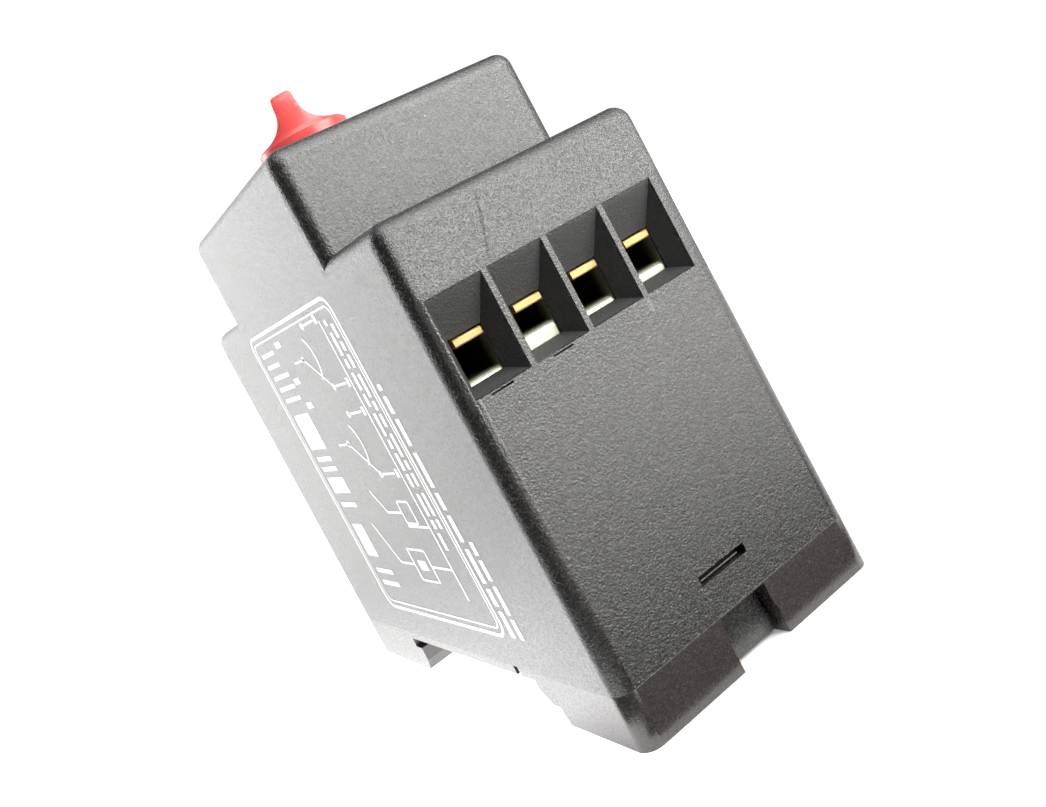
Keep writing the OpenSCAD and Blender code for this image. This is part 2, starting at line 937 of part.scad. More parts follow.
transformer_pins();
smoothing_capacitor();
film_capacitor();
varistor();
bridge_rectifier();
timer_chip();
resistors();
relay_base();
relay_cover();
relay_yoke();
relay_core();
relay_bobbin();
relay_coil();
relay_armature();
moving_contact();
rest_contact();
working_contact();
relay_pins();
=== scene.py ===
"""Looks, light and camera for a DIN-rail time relay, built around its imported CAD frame."""

import json
import math

import bmesh
import bpy
from mathutils import Matrix, Vector


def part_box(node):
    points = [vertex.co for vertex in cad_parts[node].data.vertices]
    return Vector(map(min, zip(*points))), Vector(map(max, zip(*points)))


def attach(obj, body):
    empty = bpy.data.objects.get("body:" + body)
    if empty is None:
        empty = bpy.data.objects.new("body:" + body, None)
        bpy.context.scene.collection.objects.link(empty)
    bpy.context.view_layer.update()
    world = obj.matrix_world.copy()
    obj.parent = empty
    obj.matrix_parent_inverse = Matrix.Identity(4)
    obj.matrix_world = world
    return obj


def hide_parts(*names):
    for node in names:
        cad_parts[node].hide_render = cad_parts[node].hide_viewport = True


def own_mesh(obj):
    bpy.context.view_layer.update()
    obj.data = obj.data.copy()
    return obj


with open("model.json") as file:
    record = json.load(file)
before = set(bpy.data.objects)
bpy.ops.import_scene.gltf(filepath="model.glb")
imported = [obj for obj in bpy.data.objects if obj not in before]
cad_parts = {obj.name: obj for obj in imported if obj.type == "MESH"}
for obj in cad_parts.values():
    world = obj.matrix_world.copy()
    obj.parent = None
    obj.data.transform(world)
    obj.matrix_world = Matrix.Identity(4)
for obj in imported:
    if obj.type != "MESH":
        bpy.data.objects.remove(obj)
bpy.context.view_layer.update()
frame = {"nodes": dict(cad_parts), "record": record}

MM = 0.001

# Places taken from the frame
HOUSING_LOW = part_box("housing")[0]
KNOB_LOW, KNOB_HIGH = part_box("time_knob")
PLATE_LOW, PLATE_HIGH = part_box("front_plate")
SPRING_LOW, SPRING_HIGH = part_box("latch_spring")
LED_LOW, LED_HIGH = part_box("supply_led")
OUT_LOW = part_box("output_led")[0]
JOINTS = {j["name"]: j for j in frame["record"]["behaviour"]["joints"]}
KNOB_AXIS = Vector(JOINTS["knob_turn"]["pos_m"])
KNOB_TURN = [math.radians(a) for a in JOINTS["knob_turn"]["range_deg"]]
LEFT = HOUSING_LOW.x
END_FACE = -HOUSING_LOW.y
# Inside this distance from the middle the terminals' metal is painted dark, as painted shade deep in the
# chambers
CAGE_MOUTH = -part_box("clamp_cage_1")[0].y - 0.5 * MM

# The photograph's camera: lens and sensor in millimetres, shift in frame widths
LENS = 34.6
SENSOR = 36.0
SHIFT = (0.0985, -0.0989)
CAMERA_AT = Vector((-56.41, -125.10, 51.84)) * MM
CAMERA_TARGET = Vector((0.96, -0.10, 48.46)) * MM
CAMERA_LEAN = math.radians(-28.14)

# The height that the panels face
MIDDLE = 0.045
# The world's strength on the viewer's side and at the back, the shares of its depth that the change
# runs between, and the even backdrop that the camera sees
DIM_SIDE = 0.06
BRIGHT_SIDE = 1.5
FADE_FROM, FADE_TO = 0.55, 0.95
BACKDROP = 1.1
# The black card: its inner and outer distance from the near left edge, its height, how far it floats
# over the floor, its first angle in degrees from +Y towards -X, and the step and number of its folds
FLAG_NEAR = 0.006
FLAG_FAR = 0.075
FLAG_TALL = 0.16
FLAG_FLOAT = 0.0004
FLAG_START, FLAG_STEP, FLAG_FOLDS = 46, 7.5, 19
# Its flat strip at the foot of the near end: gap, width and how far it passes the right side
STRIP_GAP = 0.001
STRIP_WIDE = 0.031
STRIP_PAST = 0.024

# On the housing's ends: the band of coarser grain between the funnels and the shoulder, with a painted
# highlight on its grain tops, the weld line in it (place at the band's foot, lean, solid and faded half
# width), the funnels, whose walls are painted darker as painted shade, and the scuff
BAND_LOW, BAND_HIGH = 50.0 * MM, 56.2 * MM
WELD_X = -7.7 * MM
WELD_LEAN = 0.33
WELD_SOLID, WELD_FADED = 0.12 * MM, 0.24 * MM
WELD_WANDER = 0.8 * MM
FUNNELS_LOW, FUNNELS_HIGH = 37.6 * MM, 49.6 * MM
FUNNELS_WIDE = 16.6 * MM
SCUFF_LEFT, SCUFF_RIGHT = 5.8 * MM, 8.0 * MM
SCUFF_LOW, SCUFF_HIGH = 36.6 * MM, 37.8 * MM
# A face counts as the end face down to this depth, and as inside a funnel from this one on
SKIN, RECESS = 0.1 * MM, 0.4 * MM

# The wave texture has this many radians to one unit of its scale
WAVE_UNIT = 20

# Rounding of the CAD nodes' sharp edges: the most, the share of a thin piece, and what counts as sharp
ROUND_MOST = 0.18 * MM
ROUND_SHARE = 0.12
SHARP = math.radians(35)


# ---- camera, floor and light ----


def make_camera():
    """The photograph's view: from below left of the near end, with the object's up axis leaning left."""
    data = bpy.data.cameras.new("photo_camera")
    data.sensor_width = SENSOR
    data.lens = LENS
    data.shift_x, data.shift_y = SHIFT
    data.clip_start, data.clip_end = 0.01, 10
    camera = bpy.data.objects.new("photo_camera", data)
    upright = (CAMERA_TARGET - CAMERA_AT).to_track_quat("-Z", "Y").to_matrix()
    lean = Matrix.Rotation(CAMERA_LEAN, 3, "Z")
    camera.matrix_world = Matrix.Translation(CAMERA_AT) @ (upright @ lean).to_4x4()
    bpy.context.scene.collection.objects.link(camera)
    bpy.context.scene.camera = camera


def area_light(name, at, toward, size, power, tint=(1, 1, 1)):
    """A rectangular soft light at one place, facing another; size in metres, power in watts."""
    data = bpy.data.lights.new(name, "AREA")
    data.shape = "RECTANGLE"
    data.size, data.size_y = size
    data.energy = power
    data.color = tint
    light = bpy.data.objects.new(name, data)
    light.location = at
    light.rotation_mode = "QUATERNION"
    light.rotation_quaternion = (Vector(toward) - Vector(at)).to_track_quat("-Z", "Y")
    bpy.context.scene.collection.objects.link(light)


def panel(name, azimuth, low, high, distance, width, brightness, tint=(1, 1, 1)):
    """A soft light standing round the object: azimuth is counted from +Y towards -X, and low and high are
    the heights of its edges, as angles seen from the object. Brightness is what a mirror would show."""
    turn = math.radians(azimuth)
    bottom = distance * math.tan(math.radians(low))
    top = distance * math.tan(math.radians(high))
    at = Vector((-math.sin(turn) * distance, math.cos(turn) * distance, MIDDLE + (bottom + top) / 2))
    toward = Vector((0, 0, MIDDLE))
    size = (width, (top - bottom) * math.cos(math.radians((low + high) / 2)))
    area_light(name, at, toward, size, brightness * math.pi * size[0] * size[1], tint)


def make_studio():
    """Bright towards the back, dim on the viewer's side, with a white backdrop for the viewer."""
    scene = bpy.context.scene
    scene.view_settings.view_transform = "Standard"
    world = bpy.data.worlds.new("studio")
    scene.world = world
    world.use_nodes = True
    tree = world.node_tree
    back = tree.nodes["Background"]
    where = tree.nodes.new("ShaderNodeTexCoord")
    parts = tree.nodes.new("ShaderNodeSeparateXYZ")
    tree.links.new(where.outputs["Generated"], parts.inputs[0])
    fade = tree.nodes.new("ShaderNodeMapRange")
    fade.interpolation_type = "SMOOTHSTEP"
    tree.links.new(parts.outputs["Y"], fade.inputs["Value"])
    for name, value in (("From Min", FADE_FROM), ("From Max", FADE_TO),
                        ("To Min", DIM_SIDE), ("To Max", BRIGHT_SIDE)):
        fade.inputs[name].default_value = value
    rays = tree.nodes.new("ShaderNodeLightPath")
    seen = tree.nodes.new("ShaderNodeMix")
    tree.links.new(rays.outputs["Is Camera Ray"], seen.inputs["Factor"])
    tree.links.new(fade.outputs["Result"], seen.inputs[2])
    seen.inputs[3].default_value = BACKDROP
    tree.links.new(seen.outputs[0], back.inputs["Strength"])
    back.inputs["Color"].default_value = (1, 0.995, 0.985, 1)
    panel("window_back", 28, -2, 30, 1.2, 0.5, 7.0)
    panel("window_front", 215, 1.8, 34, 1.2, 0.9, 12.3, (1, 1, 0.97))
    panel("fill_right", 285, 4, 40, 1.3, 0.7, 1.2)
    area_light("overhead", (0.2, -0.45, 0.95), (0, 0, 0), (1.0, 1.0), 15)
    dark_flag()


def dark_flag():
    """A black card round the viewer's side, seen only in reflections: it keeps the upright edges dark."""
    mesh = bmesh.new()
    centre = Vector((LEFT, -END_FACE, 0))
    rows = []
    points = ((FLAG_NEAR, FLAG_FLOAT), (FLAG_FAR, FLAG_FLOAT), (FLAG_FAR, FLAG_TALL))
    for i in range(FLAG_FOLDS):
        turn = math.radians(FLAG_START + FLAG_STEP * i)
        out = Vector((-math.sin(turn), math.cos(turn), 0))
        rows.append([mesh.verts.new(centre + out * reach + Vector((0, 0, up))) for reach, up in points])
    for a, b in zip(rows, rows[1:]):
        for k in (0, 1):
            mesh.faces.new((a[k], a[k + 1], b[k + 1], b[k]))
    # and a flat strip along the foot of the near end
    right = -LEFT + STRIP_PAST
    outer, inner = -END_FACE - STRIP_WIDE, -END_FACE - STRIP_GAP
    corners = ((LEFT, outer), (right, outer), (right, inner), (LEFT, inner))
    mesh.faces.new([mesh.verts.new((x, y, FLAG_FLOAT)) for x, y in corners])
    flag = add_piece("dark_flag", mesh, "flag")
    flag.visible_camera = False
    flag.visible_diffuse = False
    flag.visible_shadow = False
    flag.visible_transmission = False


def make_floor():
    """A plain sheet of paper that reaches well past the picture."""
    bpy.ops.mesh.primitive_plane_add(size=6)
    floor = bpy.context.object
    floor.name = "studio_floor"
    floor.data.materials.append(MATERIALS["floor"])


# ---- material graphs ----


class Graph:
    """One material's node tree, with short calls for the nodes that the looks are made of."""

    def __init__(self, name):
        self.material = bpy.data.materials.new(name)
        self.material.use_nodes = True
        self.tree = self.material.node_tree
        self.shader = self.tree.nodes["Principled BSDF"]
        self.place = self.add("ShaderNodeTexCoord").outputs["Object"]

    def add(self, kind, **settings):
        node = self.tree.nodes.new(kind)
        for key, value in settings.items():
            setattr(node, key, value)
        return node

    def put(self, socket, value):
        """Links an output to a socket, or sets the socket to a plain value."""
        if isinstance(value, bpy.types.NodeSocket):
            self.tree.links.new(value, socket)
        elif isinstance(value, (tuple, list)) and len(value) == 3 and len(socket.default_value) == 4:
            socket.default_value = (*value, 1)
        else:
            socket.default_value = value

    def set(self, name, value):
        self.put(self.shader.inputs[name], value)

    def stretched(self, stretch):
        mapping = self.add("ShaderNodeMapping")
        self.put(mapping.inputs["Vector"], self.place)
        self.put(mapping.inputs["Scale"], stretch)
        return mapping.outputs["Vector"]

    def noise(self, size, detail=2.0, rough=0.5, stretch=None):
        """Noise whose grains are about size metres across, from 0 to 1."""
        node = self.add("ShaderNodeTexNoise")
        self.put(node.inputs["Vector"], self.stretched(stretch) if stretch else self.place)
        self.put(node.inputs["Scale"], 1 / size)
        self.put(node.inputs["Detail"], detail)
        self.put(node.inputs["Roughness"], rough)
        return node.outputs["Fac"]

    def cells(self, size):
        """How far each point is from the nearest of many scattered points, size metres apart."""
        node = self.add("ShaderNodeTexVoronoi")
        self.put(node.inputs["Vector"], self.place)
        self.put(node.inputs["Scale"], 1 / size)
        return node.outputs["Distance"]

    def maths(self, operation, a, b=0.0):
        node = self.add("ShaderNodeMath", operation=operation)
        self.put(node.inputs[0], a)
        self.put(node.inputs[1], b)
        return node.outputs[0]

    def spread(self, value, low, high, to_low=0.0, to_high=1.0):
        """Maps low..high to to_low..to_high, clamped."""
        node = self.add("ShaderNodeMapRange")
        for name, v in zip(("Value", "From Min", "From Max", "To Min", "To Max"),
                           (value, low, high, to_low, to_high)):
            self.put(node.inputs[name], v)
        return node.outputs["Result"]

    def times(self, a, b):
        """The product of two values."""
        return self.maths("MULTIPLY", a, b)

    def blend(self, share, a, b):
        node = self.add("ShaderNodeMix", data_type="RGBA")
        self.put(node.inputs["Factor"], share)
        self.put(node.inputs[6], a)
        self.put(node.inputs[7], b)
        return node.outputs[2]

    def bump(self, height, depth, strength):
        node = self.add("ShaderNodeBump")
        self.put(node.inputs["Height"], height)
        self.put(node.inputs["Distance"], depth)
        self.put(node.inputs["Strength"], strength)
        return node.outputs["Normal"]

    def axes(self):
        """The three coordinates of the painted point, in metres."""
        node = self.add("ShaderNodeSeparateXYZ")
        self.put(node.inputs[0], self.place)
        return node.outputs

    def within(self, value, low, high, soft):
        """1 where value lies between low and high, fading out over soft."""
        rise = self.spread(value, low - soft, low)
        return self.times(rise, self.spread(value, high, high + soft, 1, 0))

    def edges(self, radius):
        """Close to 1 along the piece's sharp edges and 0 on its open faces."""
        bevel = self.add("ShaderNodeBevel", samples=4)
        self.put(bevel.inputs["Radius"], radius)
        geometry = self.add("ShaderNodeNewGeometry")
        dot = self.add("ShaderNodeVectorMath", operation="DOT_PRODUCT")
        self.put(dot.inputs[0], bevel.outputs["Normal"])
        self.put(dot.inputs[1], geometry.outputs["Normal"])
        return self.spread(dot.outputs["Value"], 0.99, 0.80)


def grained_plastic(name, tint, grain=0.00018, depth=1.0, rough=(0.18, 0.36), dust=0.5, fleck=4.0,
                    marks=None):
    """Moulded plastic with spark-eroded grain, rubbed edges and dust specks. fleck is how much lighter
    than the rest the tops of the grain are. marks, if given, adds what one piece has of its own, painted
    light included: it takes the graph and returns extra darkening (partly painted shade), lightening,
    coarse grain whose tops get a painted highlight, and dullness, each from 0 to 1."""
    g = Graph(name)
    clouds = g.noise(0.011, detail=3)
    fine = g.noise(grain, detail=2, rough=0.6)
    coarse = g.noise(grain * 2, detail=3, rough=0.6)
    worn = g.times(g.edges(0.0004), g.spread(g.noise(0.004, detail=5), 0.35, 0.7))
    light = tuple(min(1, c * fleck + 0.02) for c in tint)
    colour = g.blend(clouds, tuple(c * 0.8 for c in tint), tuple(c * 1.2 for c in tint))
    peaks = g.maths("ADD", g.times(fine, 0.7), g.times(coarse, 0.3))
    colour = g.blend(g.spread(peaks, 0.54, 0.66), colour, light)
    colour = g.blend(g.times(worn, 0.5), colour, light)
    speck = g.spread(g.cells(0.0024), 0.045, 0.03)
    few = g.spread(g.noise(0.02, detail=1), 0.5, 0.62)
    dusty = g.times(g.times(speck, few), dust)
    colour = g.blend(dusty, colour, (0.62, 0.60, 0.57))
    roughness = g.spread(g.noise(grain * 1.5, detail=3, rough=0.7), 0.35, 0.65, rough[0], rough[1])
    height = g.maths("ADD", g.times(fine, 0.5), g.times(coarse, 0.5))
    if marks:
        dark, pale, lift, dull = marks(g)
        # painted highlight: where the marks call for coarse grain, the grain tops are painted a lighter
        # silver, standing in for a sheen
        painted_band_highlight = g.times(lift, g.spread(peaks, 0.34, 0.68))
        colour = g.blend(painted_band_highlight, colour, (0.120, 0.120, 0.117))
        # darkening from the piece's marks: on the housing, the real weld line and painted shade in the
        # funnels
        colour = g.blend(dark, colour, (0.002, 0.002, 0.002))
        colour = g.blend(pale, colour, (0.16, 0.155, 0.15))
        height = g.times(height, g.maths("ADD", g.times(lift, 0.8), 1.0))
        roughness = g.maths("ADD", roughness, g.times(dull, 0.35))
    g.set("Base Color", colour)
    g.set("Roughness", roughness)
    g.set("Specular IOR Level", 1.0)
    g.set("Normal", g.bump(height, depth * 0.00016, strength=0.8))
    return g.material


def housing_marks(g):
    """What the housing's ends show: a weld line in the band over the near funnels, a coarser grain there
    whose tops get a painted highlight, dull funnels painted dark as painted shade, and a faint scuff under
    them."""
    x, y, z = g.axes()
    depth = g.maths("ABSOLUTE", y)
    at_end = g.spread(depth, END_FACE - RECESS, END_FACE - SKIN)
    band = g.times(g.within(z, BAND_LOW, BAND_HIGH, 0.9 * MM), at_end)
    climb = g.times(g.maths("SUBTRACT", z, BAND_LOW), WELD_LEAN)
    wander = g.times(g.noise(0.002, detail=2), WELD_WANDER)
    path = g.maths("ADD", g.maths("ADD", climb, wander), WELD_X)
    off = g.maths("ABSOLUTE", g.maths("SUBTRACT", x, path))
    line = g.times(g.spread(off, WELD_FADED, WELD_SOLID), band)
    # on the near end only
    line = g.times(line, g.spread(y, 0.001, 0.0))
    patch = g.times(g.within(x, SCUFF_LEFT, SCUFF_RIGHT, 1.0 * MM),
                    g.within(z, SCUFF_LOW, SCUFF_HIGH, 0.6 * MM))
    lines = g.spread(g.noise(0.0009, detail=2, stretch=(2, 1, 0.6)), 0.56, 0.66)
    scuff = g.times(g.times(patch, lines), at_end)
    # painted shade: the funnels' walls and floors, deeper than the end face, are darkened here as shade
    # inside the recesses
    inside = g.times(g.spread(depth, END_FACE - SKIN, END_FACE - RECESS),
                     g.within(z, FUNNELS_LOW, FUNNELS_HIGH, 0.2 * MM))
    inside = g.times(inside, g.spread(g.maths("ABSOLUTE", x), FUNNELS_WIDE + 0.2 * MM, FUNNELS_WIDE))
    dark = g.maths("MAXIMUM", g.times(line, 0.9), g.times(inside, 0.8))
    return dark, g.times(scuff, 0.4), band, inside


def smooth_plastic(name, tint, rough=(0.28, 0.42), coat=0.0, scatter=0.0):
    """Polished moulded plastic with flow clouding, hairline scratches and soft handling marks."""
    g = Graph(name)
    clouds = g.noise(0.004, detail=4)
    colour = g.blend(clouds, tuple(c * 0.86 for c in tint), tuple(min(1, c * 1.1) for c in tint))
    rub = g.times(g.edges(0.0003), g.spread(g.noise(0.002, detail=4), 0.35, 0.7))
    pale = tuple(min(1, c * 1.2 + 0.05) for c in tint)
    g.set("Base Color", g.blend(g.times(rub, 0.5), colour, pale))
    g.set("Roughness", g.spread(g.noise(0.0016, detail=5, rough=0.6), 0.3, 0.7, rough[0], rough[1]))
    hair = g.noise(0.0002, detail=2, stretch=(1, 1, 0.06))
    g.set("Normal", g.bump(hair, 0.000004, strength=0.4))
    g.set("Coat Weight", coat)
    g.set("Subsurface Weight", scatter)
    g.set("Subsurface Scale", 0.0008)
    return g.material


def metal(name, tint, rough=(0.2, 0.4), brushed=(1, 1, 1), grime=0.4, painted_shade_from=None):
    """Worked metal: drawn or rolled lines, tarnish in patches and darker grime, brighter edges.
    The last argument is the distance from the middle inside which the terminals' metal is painted dark, as
    painted shade deep in the chambers."""
    g = Graph(name)
    tarnish = g.spread(g.noise(0.0012, detail=6, rough=0.65), 0.4, 0.7)
    dull = tuple(c * 0.62 for c in tint)
    colour = g.blend(g.times(tarnish, grime), tint, dull)
    bright = tuple(min(1, c * 1.15) for c in tint)
    colour = g.blend(g.times(g.edges(0.00015), 0.6), colour, bright)
    if painted_shade_from:
        # painted shade: deep inside the terminal chambers the metal's colour is darkened
        depth = g.maths("ABSOLUTE", g.axes()[1])
        dark = g.spread(depth, painted_shade_from, painted_shade_from - 1.5 * MM, 0, 0.93)
        colour = g.blend(dark, colour, (0.050, 0.034, 0.010))
    g.set("Base Color", colour)
    g.set("Metallic", 1.0)
    lines = g.noise(0.00018, detail=4, rough=0.6, stretch=brushed)
    g.set("Roughness", g.spread(lines, 0.3, 0.7, rough[0], rough[1]))
    g.set("Normal", g.bump(lines, 0.00001, strength=0.35))
    return g.material


def wound_wire(name, tint):
    """Lacquered wire laid in close turns: ridges one turn apart, with a slight wander."""
    g = Graph(name)
    wire = 0.22 * MM
    wave = g.add("ShaderNodeTexWave", wave_type="BANDS", bands_direction="Z", wave_profile="SIN")
    g.put(wave.inputs["Vector"], g.place)
    g.put(wave.inputs["Scale"], math.tau / wire / WAVE_UNIT)
    g.put(wave.inputs["Distortion"], 0.6)
    g.put(wave.inputs["Detail"], 1.0)
    ridges = wave.outputs["Fac"]
    # painted shade: the grooves between the turns are painted darker than the crests
    g.set("Base Color", g.blend(ridges, tuple(c * 0.35 for c in tint), tint))
    g.set("Metallic", 0.7)
    g.set("Roughness", g.spread(g.noise(0.0008, detail=3), 0.3, 0.7, 0.25, 0.42))
    g.set("Normal", g.bump(ridges, 0.00006, strength=0.8))
    return g.material


def circuit_board(name):
    """Green solder mask over copper tracks that show as raised, paler paths."""
    g = Graph(name)
    tracks = g.add("ShaderNodeTexBrick", offset=0.5, squash=0.6)
    g.put(tracks.inputs["Vector"], g.place)
    g.put(tracks.inputs["Scale"], 1 / 0.0052)
    g.put(tracks.inputs["Mortar Size"], 0.06)
    g.put(tracks.inputs["Mortar Smooth"], 0.1)
    path = tracks.outputs["Fac"]
    mask = g.blend(g.noise(0.005, detail=4), (0.012, 0.11, 0.045), (0.02, 0.16, 0.07))
    g.set("Base Color", g.blend(path, mask, (0.06, 0.26, 0.10)))
    g.set("Roughness", g.spread(g.noise(0.0007, detail=4), 0.3, 0.7, 0.22, 0.36))
    weave = g.noise(0.0004, detail=1, stretch=(1, 0.3, 1))
    g.set("Normal", g.bump(g.maths("ADD", path, g.times(weave, 0.2)), 0.00003, strength=0.6))
    return g.material


def laminated(name):
    """Edges of stacked steel sheets, half a millimetre each, with a thin blue-grey varnish."""
    g = Graph(name)
    sheet = 0.5 * MM
    wave = g.add("ShaderNodeTexWave", wave_type="BANDS", bands_direction="Y", wave_profile="SAW")
    g.put(wave.inputs["Vector"], g.place)
    g.put(wave.inputs["Scale"], math.tau / sheet / WAVE_UNIT)
    sheets = wave.outputs["Fac"]
    g.set("Base Color", g.blend(sheets, (0.10, 0.10, 0.12), (0.34, 0.34, 0.38)))
    g.set("Metallic", 0.8)
    g.set("Roughness", g.spread(g.noise(0.001, detail=4), 0.3, 0.7, 0.35, 0.55))
    g.set("Normal", g.bump(sheets, 0.00005, strength=0.6))
    return g.material


def tinted_lens(name, tint):
    """Cloudy coloured resin, half clear."""
    g = Graph(name)
    g.set("Base Color", g.blend(g.noise(0.001, detail=3), tuple(c * 0.8 for c in tint), tint))
    g.set("Roughness", g.spread(g.noise(0.0005, detail=3), 0.3, 0.7, 0.08, 0.16))
    g.set("Transmission Weight", 0.55)
    g.set("Subsurface Weight", 0.1)
    g.set("IOR", 1.5)
    g.set("Normal", g.bump(g.noise(0.0004), 0.000003, strength=0.3))
    return g.material


def clear_plastic(name):
    """Clear moulded plastic, a little wavy and hazed."""
    g = Graph(name)
    g.set("Base Color", g.blend(g.noise(0.004, detail=3), (0.86, 0.90, 0.94), (0.95, 0.97, 0.99)))
    g.set("Roughness", g.spread(g.noise(0.0015, detail=4), 0.3, 0.7, 0.04, 0.14))
    g.set("Transmission Weight", 0.92)
    g.set("IOR", 1.58)
    g.set("Normal", g.bump(g.noise(0.003, detail=2), 0.00003, strength=0.2))
    return g.material


def floor_paper():
    """White paper, overexposed as a lit table is, with that light painted as a glow: bright at the back
    and all round beyond the object.
    """
    g = Graph("floor_paper")
    g.set("Base Color", g.blend(g.noise(0.05, detail=4), (0.86, 0.85, 0.845), (0.90, 0.89, 0.885)))
    g.set("Roughness", g.spread(g.noise(0.01, detail=3), 0.3, 0.7, 0.7, 0.85))
    g.set("Normal", g.bump(g.noise(0.0006, detail=3), 0.00005, strength=0.2))
    x, y, _ = g.axes()
    away = g.maths("SQRT", g.maths("ADD", g.times(x, x), g.times(y, y)))
    # from the viewer's right to the back left
    across = g.maths("SUBTRACT", y, x)
    # painted light: the paper's emission stands in for light falling on it, dim at the viewer's right and
    # strongest just behind the object
    lit = g.times(g.spread(across, -0.025, 0.0, 0.1, 3.0), g.spread(across, 0.03, 0.10, 1, 0.45))
    glow = g.maths("MAXIMUM", lit, g.spread(away, 0.2, 0.5, 0, 1.1))
    g.set("Emission Color", (1, 1, 1))
    g.set("Emission Strength", glow)
    return g.material


def black_card():
    """Matt black card with a faint fibre."""
    g = Graph("black_card")
    g.set("Base Color", g.blend(g.noise(0.004, detail=3), (0.003, 0.003, 0.003), (0.006, 0.006, 0.006)))
    g.set("Roughness", g.spread(g.noise(0.002, detail=3), 0.3, 0.7, 0.85, 0.95))
    return g.material


def white_print():
    """Pad-printed ink: slightly uneven white with tiny pinholes."""
    g = Graph("white_print")
    holes = g.spread(g.noise(0.00025, detail=2), 0.30, 0.38)
    g.set("Base Color", g.blend(holes, (0.35, 0.35, 0.34), (0.80, 0.80, 0.78)))
    g.set("Roughness", g.spread(g.noise(0.001, detail=3), 0.3, 0.7, 0.42, 0.6))
    g.set("Normal", g.bump(g.noise(0.0002, detail=2), 0.000008, strength=0.4))
    return g.material


MATERIALS = {
    "housing": grained_plastic("housing_plastic", (0.0066, 0.0058, 0.0054), marks=housing_marks),
    "base": grained_plastic("base_plastic", (0.0185, 0.0142, 0.0130), depth=0.3, fleck=1.2),
    "latch": grained_plastic("latch_plastic", (0.008, 0.0075, 0.0075), depth=0.3),
    "carrier": grained_plastic("carrier_plastic", (0.020, 0.020, 0.020)),
    "plate": smooth_plastic("plate_black", (0.016, 0.016, 0.018), rough=(0.32, 0.46)),
    "knob": smooth_plastic("knob_red", (0.62, 0.075, 0.070), rough=(0.26, 0.40), scatter=0.15),
    "green_lens": tinted_lens("lens_green", (0.10, 0.70, 0.22)),
    "amber_lens": tinted_lens("lens_amber", (0.95, 0.45, 0.05)),
    "screw": metal("screw_zinc", (0.66, 0.65, 0.62), brushed=(1, 1, 0.2)),
    "cage": metal("cage_plated", (0.50, 0.51, 0.40), rough=(0.42, 0.56), grime=0.5,
                  painted_shade_from=CAGE_MOUTH),
    "brass": metal("bar_brass", (0.52, 0.38, 0.17), rough=(0.52, 0.66), brushed=(1, 0.15, 1), grime=0.5,
                   painted_shade_from=CAGE_MOUTH),
    "spring": metal("spring_wire", (0.60, 0.60, 0.62), rough=(0.22, 0.36)),
    "bronze": metal("bronze_strip", (0.78, 0.50, 0.26), rough=(0.22, 0.36), brushed=(0.1, 1, 1)),
    "tinned": metal("tinned_copper", (0.74, 0.74, 0.75), rough=(0.28, 0.45)),
    "nickel": metal("nickel_steel", (0.62, 0.61, 0.58), rough=(0.18, 0.32)),
    "lamination": laminated("core_sheets"),
    "copper": wound_wire("copper_turns", (0.72, 0.28, 0.10)),
    "board": circuit_board("board_green"),
    "ivory": smooth_plastic("nylon_ivory", (0.78, 0.73, 0.60), scatter=0.2),
    "shaft": smooth_plastic("nylon_shaft", (0.80, 0.79, 0.74), scatter=0.2),
    "blue_case": smooth_plastic("case_blue", (0.05, 0.12, 0.42)),
    "phenolic": grained_plastic("phenolic_brown", (0.33, 0.16, 0.05), dust=0.1),
    "carbon": grained_plastic("carbon_black", (0.014, 0.014, 0.014), dust=0.1),
    "blue_sleeve": smooth_plastic("sleeve_blue", (0.03, 0.06, 0.22), coat=0.3),
    "red_block": smooth_plastic("block_red", (0.48, 0.04, 0.03), coat=0.4),
    "blue_disc": smooth_plastic("disc_blue", (0.04, 0.16, 0.50), coat=0.4),
    "epoxy": grained_plastic("epoxy_black", (0.016, 0.016, 0.017), grain=0.00008, dust=0.1),
    "resistor": smooth_plastic("resistor_beige", (0.62, 0.46, 0.26), coat=0.4),
    "clear": clear_plastic("cover_clear"),
    "floor": floor_paper(),
    "flag": black_card(),
    "print": white_print(),
}

# Which material each CAD node wears
WEARS = {
    "housing": "housing", "base": "base", "front_plate": "plate", "rail_latch": "latch",
    "latch_spring": "spring", "time_knob": "knob", "pot_shaft": "shaft", "pot_wiper": "bronze",
    "pot_case": "blue_case", "pot_base": "phenolic", "pot_track": "carbon",
    "supply_led": "green_lens", "output_led": "amber_lens", "contact_bars_near": "brass",
    "contact_bars_far": "brass", "terminal_carrier_near": "carrier",
    "terminal_carrier_far": "carrier", "main_board": "board", "timing_board": "board",
    "link_wires": "tinned", "transformer_core": "lamination", "transformer_bobbin": "ivory",
    "transformer_winding": "copper", "transformer_pins": "tinned",
    "smoothing_capacitor": "blue_sleeve", "film_capacitor": "red_block", "varistor": "blue_disc",
    "bridge_rectifier": "epoxy", "timer_chip": "epoxy", "resistors": "resistor",
    "relay_base": "epoxy", "relay_cover": "clear", "relay_yoke": "nickel",
    "relay_core": "nickel", "relay_bobbin": "ivory", "relay_coil": "copper",
    "relay_armature": "nickel", "moving_contact": "bronze", "rest_contact": "bronze",
    "working_contact": "bronze", "relay_pins": "tinned",
}
for number in range(1, 9):
    WEARS[f"terminal_screw_{number}"] = "screw"
    WEARS[f"clamp_cage_{number}"] = "cage"


# ---- CAD nodes ----


def finish_node(name):
    """Gives a CAD node its material and rounds its sharp edges a little, without touching its mesh."""
    node = frame["nodes"][name]
    node.data.materials.clear()
    node.data.materials.append(MATERIALS[WEARS[name]])
    low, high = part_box(name)
    thinnest = min(high - low)
    weld = node.modifiers.new("weld", "WELD")
    weld.merge_threshold = 0.002 * MM
    flat = node.modifiers.new("flat", "DECIMATE")
    flat.decimate_type = "DISSOLVE"
    flat.angle_limit = math.radians(1)
    bevel = node.modifiers.new("edges", "BEVEL")
    bevel.width = min(ROUND_MOST, thinnest * ROUND_SHARE)
    bevel.segments = 2
    bevel.limit_method = "ANGLE"
    bevel.angle_limit = SHARP
    bevel.harden_normals = True
    bevel.miter_outer = "MITER_ARC"


# ---- printed marks ----


